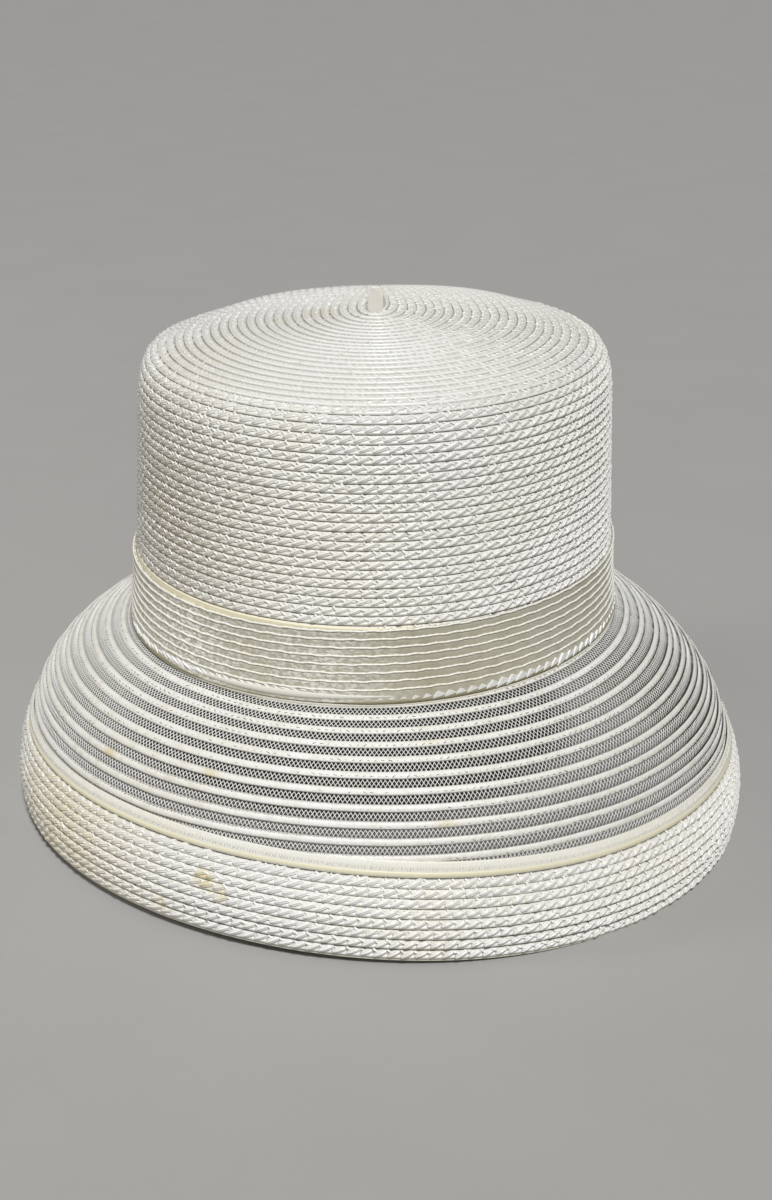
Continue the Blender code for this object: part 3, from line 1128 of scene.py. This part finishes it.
COLLAR_T = 0.8
COLLAR_TOP_Z = 88.0
COLLAR_REACH = 3.4  # how far down the brim it lies
COLLAR_TURN = 1.2  # it is on the brim from here, and upright down to the next
COLLAR_BEND = 2.2
COLLAR_INSET = 0.4


def brim_rings(points, sides):
    """Rings of the brim's wall from (radius, z) points."""
    angles = np.linspace(0, 2 * math.pi, sides, endpoint=False)
    rings = [settle_brim(np.full(sides, float(r)), angles, float(z)) for r, z in points]
    return np.stack([np.stack(ring, axis=-1) for ring in rings])


collar_r = BRIM_ROOT_R - COLLAR_INSET
collar_points = [
    (collar_r + COLLAR_T * 0.6, COLLAR_TOP_Z),
    (collar_r + COLLAR_T, COLLAR_TOP_Z - COLLAR_T),
    (collar_r + COLLAR_T, BRIM_ROOT_Z + COLLAR_BEND),
    brim.flat(COLLAR_TURN, GAP + COLLAR_T),
    brim.flat(COLLAR_REACH, GAP + COLLAR_T * 0.75),
    brim.flat(COLLAR_REACH + 0.2, GAP + 0.2),
    brim.flat(COLLAR_REACH, GAP * 0.5),
    brim.flat(0.0, GAP * 0.5),
    (collar_r, COLLAR_TOP_Z),
]
# The collar's cream is darkened as painted shade.
collar = loft("collar_strip", brim_rings(collar_points, BAND_SIDES), painted_shade_collar_straw)
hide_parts("brim_collar")

# Where the net's rows lie, by direction in degrees: they are not quite level with the brim's root.
NET_ROWS = 10
NET_FROM = 1.2  # the rows show from here down the brim, and to here below the heading's top
NET_UNDER = 2.5
NET_RIDGE_PITCH = 6.4  # the pitch at which a ridge has its full size
NET_OUT = -0.2  # how far out of the wall the threads lie, the ridges and the dashes on them
RIDGE_OUT = -0.05
DASH_OUT = 0.5
RIDGE_SHARE = 0.5  # where a ridge lies between two rows, and its dashes
DASH_SHARE = 0.58
ROD = dict(Lift=0.0, Sides=4, Rings=1)  # a thread, as short square rods
NET_TURN = (-35, 0, 90, 180, 215, 232, 247, 268, 286, 303, 325)
NET_FIRST = (6.2, 5.6, 5.4, 5.0, 4.6, 4.6, 5.7, 5.6, 5.9, 6.5, 6.2)
NET_PITCH = (5.95, 6.1, 6.4, 6.8, 7.0, 7.0, 6.68, 6.4, 6.15, 5.93, 5.95)


def net_row(row, out, points=360):
    """One row of the net, counted from the hollow nearest to the collar."""
    angle = -FRONT + np.linspace(0, 2 * math.pi, points, endpoint=False)
    turn = np.degrees(np.remainder(angle - math.radians(NET_TURN[0]), 2 * math.pi)) + NET_TURN[0]
    first = np.interp(turn, NET_TURN, NET_FIRST)
    pitch = np.interp(turn, NET_TURN, NET_PITCH)
    distance = first + row * pitch
    return distance, angle, np.full(points, float(out)), pitch


def net_paths(rows, out):
    """The rows that show between the collar and the heading, and their widths."""
    paths, widths = [], []
    for row in rows:
        distance, angle, outs, pitch = net_row(row, out)
        shown = (distance > NET_FROM) & (distance < HEADING_AT + NET_UNDER)
        if shown.all():
            paths.append((distance, angle, outs, True))
            widths.append(pitch / NET_RIDGE_PITCH)
            continue
        marked = runs((distance, angle, outs), shown)
        paths += marked
        widths += [np.interp(path[1], angle, pitch / NET_RIDGE_PITCH) for path in marked]
    return paths, widths


ridge_rows, ridge_widths = net_paths(np.arange(-1, NET_ROWS + 1) + RIDGE_SHARE, RIDGE_OUT)
net_ridges = grow(
    "net_ridges",
    STRIPS,
    guide(brim.at, ridge_rows, ridge_widths),
    net_tape,
    **strip(2.8, 1.2),
)
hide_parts("brim")

# Dark dashes along each ridge: painted shade of small holes.
dash_rows, dash_widths = net_paths(np.arange(-1, NET_ROWS) + DASH_SHARE, DASH_OUT)
hole_shade_dashes = grow(
    "net_hole_shade_dashes",
    THREADS,
    guide(brim.at, dash_rows, dash_widths),
    painted_hole_shade,
    Pitch=0.0026,
    Length=0.0009,
    Width=0.00022,
    Height=0.0002,
    Slant=0.1,
    Unevenness=0.6,
    **ROD,
)

NET_SLANT = math.radians(56)
hole_rows, hole_widths = net_paths(np.arange(0, NET_ROWS + 1), NET_OUT)
for way, name in ((1, "net_threads_up"), (-1, "net_threads_down")):
    threads = grow(
        name,
        THREADS,
        guide(brim.at, hole_rows, hole_widths),
        net_thread,
        Pitch=0.0016,
        Length=0.0047,
        Width=0.0003,
        Height=0.0003,
        Slant=way * NET_SLANT,
        Unevenness=0.05,
        Seed=SEED + way,
        **ROD,
    )

# mm down from the heading's top, mm out
HEADING_PROFILE = (
    (0.0, 0.6),
    (0.8, 1.0),
    (3.0, 0.9),
    (5.2, 1.0),
    (HEADING_W, 0.7),
    (HEADING_W, 0.0),
    (0.0, 0.0),
)
heading_points = [brim.flat(HEADING_AT + down, GAP + out) for down, out in HEADING_PROFILE]
heading = loft("heading_strip", brim_rings(heading_points, BRIM_SIDES), heading_straw)
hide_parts("border_heading")

HEADING_TURN = 1.5  # where the lines round the heading begin
heading_edge = grow(
    "heading_edge",
    STRIPS,
    guide(brim.at, [ring_path(HEADING_AT + 4.8, GAP + 0.7, HEADING_TURN)]),
    edge_straw,
    **strip(2.2, 1.0),
)
heading_threads = grow(
    "heading_threads",
    THREADS,
    guide(brim.at, [ring_path(HEADING_AT + 1.9, GAP + 0.95, HEADING_TURN)]),
    net_thread,
    Pitch=0.0011,
    Length=0.0024,
    Width=0.00022,
    Height=0.0002,
    Slant=1.25,
    Unevenness=0.3,
    **ROD,
)

# The border's wall: down its outside, round the hem, and up its inside.
border_top = BORDER_AT + 0.3
inner_top = BORDER_AT + 1.0
outer_rows = np.linspace(border_top, HEM_AT - HEM_CORD, 14)
inner_rows = np.arange(HEM_AT - 1.5, inner_top, -BORDER_PITCH / 2)
inner_out = BORDER_OUT - BORDER_WALL
foot_r = float(brim.flat(HEM_AT, BORDER_OUT - 0.3)[0])
border_points = [brim.flat(d, BORDER_OUT - BRAID_RELIEF) for d in outer_rows]
border_points += [brim.flat(HEM_AT - 0.6, BORDER_OUT - 0.1)]
border_points += [(foot_r, 0.0), (foot_r - BORDER_WALL, 0.0)]
border_points += [brim.flat(d, inner_out - INNER_RELIEF * (i % 2)) for i, d in enumerate(inner_rows)]
border_points += [brim.flat(inner_top, inner_out), brim.flat(inner_top, GAP)]
border_points += [brim.flat(border_top, GAP)]
# The border's shell is in the darkened ground, painted shade for its grooves and inside.
border = loft("border_shell", brim_rings(border_points, BRIM_SIDES), painted_shade_ground)
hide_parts("brim_border")

BORDER_FIRST = 3.45  # width of the border's first row, and of its last
BORDER_LAST = 4.45
row_widths = np.linspace(BORDER_FIRST, BORDER_LAST, BORDER_ROWS)
row_tops = border_top + np.r_[0.0, np.cumsum(row_widths)[:-1]]
row_out = BORDER_OUT - 0.42
ROW_TURN = 1.7  # from where one row begins to where the next does


def border_paths(share, out):
    """The border's rows, each begun at another place round the hat."""
    return [
        ring_path(top + share * width, out, turn=ROW_TURN * row)
        for row, (top, width) in enumerate(zip(row_tops, row_widths))
    ]


lay_braid(
    "border",
    "brim_border",
    brim.at,
    border_paths,
    bed=(row_out - 0.2, dict(Width=0.0036, Height=0.001)),
    lip=(row_out + 0.06, dict(Width=0.0016, Height=0.0017)),
    strands=(
        row_out - 0.05,
        dict(Pitch=0.0049, Length=0.0067, Width=0.0026, Height=0.0031, Slant=0.42, Lift=0.14),
    ),
    seams=(
        row_out + 0.45,
        dict(Pitch=0.0048, Length=0.0036, Width=0.0008, Height=0.0008, Slant=-0.6),
    ),
)
# The hem cord, in the collar's cream darkened as painted shade.
cord = grow(
    "hem_cord",
    STRIPS,
    guide(brim.at, [ring_path(HEM_AT - 0.65, BORDER_OUT - 0.5)]),
    painted_shade_collar_straw,
    **strip(1.2, 1.3),
)

FLOOR_HALF = 9.0  # metres
corners = [(-1, -1), (1, -1), (1, 1), (-1, 1)]
corners = [(x * FLOOR_HALF, y * FLOOR_HALF, 0.0) for x, y in corners]
floor_mesh = bpy.data.meshes.new("floor")
floor_mesh.from_pydata(corners, [], [(0, 1, 2, 3)])
floor_mesh.materials.append(
    plain_finish("pale_floor", (0.41, 0.40, 0.385), (0.38, 0.37, 0.355), roughness=0.8, grain=40.0)
)
floor = bpy.data.objects.new("floor", floor_mesh)
bpy.context.scene.collection.objects.link(floor)

CAMERA_AT = (CROWN_AT[0], CROWN_AT[1] - 713.0, 392.8)
CAMERA_PITCH = math.radians(23.534)
CAMERA_YAW = math.radians(0.435)
CAMERA_ROLL = math.radians(-1.05)
CAMERA_LENS = 57.22

ahead = Vector(
    (
        math.sin(CAMERA_YAW) * math.cos(CAMERA_PITCH),
        math.cos(CAMERA_YAW) * math.cos(CAMERA_PITCH),
        -math.sin(CAMERA_PITCH),
    )
)
level = Vector((math.cos(CAMERA_YAW), -math.sin(CAMERA_YAW), 0))
above = level.cross(ahead)
right = level * math.cos(CAMERA_ROLL) - above * math.sin(CAMERA_ROLL)
up = level * math.sin(CAMERA_ROLL) + above * math.cos(CAMERA_ROLL)
camera = bpy.data.objects.new("camera", bpy.data.cameras.new("camera"))
bpy.context.scene.collection.objects.link(camera)
camera.data.lens = CAMERA_LENS
camera.data.sensor_width = 36.0
pose = Matrix((right, up, -ahead)).transposed().to_4x4()
pose.translation = Vector(CAMERA_AT) * MM
camera.matrix_world = pose
bpy.context.scene.camera = camera

AIMED_AT = (0, 0, 0.1)  # in metres, the middle of the hat


def add_light(name, kind, spot, colour, energy, **settings):
    """A light at a place in metres, turned to the hat."""
    data = bpy.data.lights.new(name, kind)
    data.color = colour
    data.energy = energy
    for setting, value in settings.items():
        setattr(data, setting, value)
    light = bpy.data.objects.new(name, data)
    light.location = spot
    way = Vector(AIMED_AT) - Vector(spot)
    light.rotation_euler = way.to_track_quat("-Z", "Y").to_euler()
    bpy.context.scene.collection.objects.link(light)


COOL = (0.98, 0.99, 1.0)
WARM = (1.0, 0.97, 0.92)
add_light("key", "SUN", (0.12, -0.87, 1.32), COOL, 2.8, angle=math.radians(9))
add_light("side", "AREA", (-1.2, -0.30, 0.75), WARM, 3.0, size=0.35)

world = bpy.data.worlds.new("studio")
world.use_nodes = True
sky = world.node_tree.nodes["Background"]
sky.inputs["Color"].default_value = (0.84, 0.82, 0.80, 1.0)
sky.inputs["Strength"].default_value = 0.15
bpy.context.scene.world = world
bpy.context.scene.view_settings.view_transform = "Standard"

bpy.context.view_layer.update()
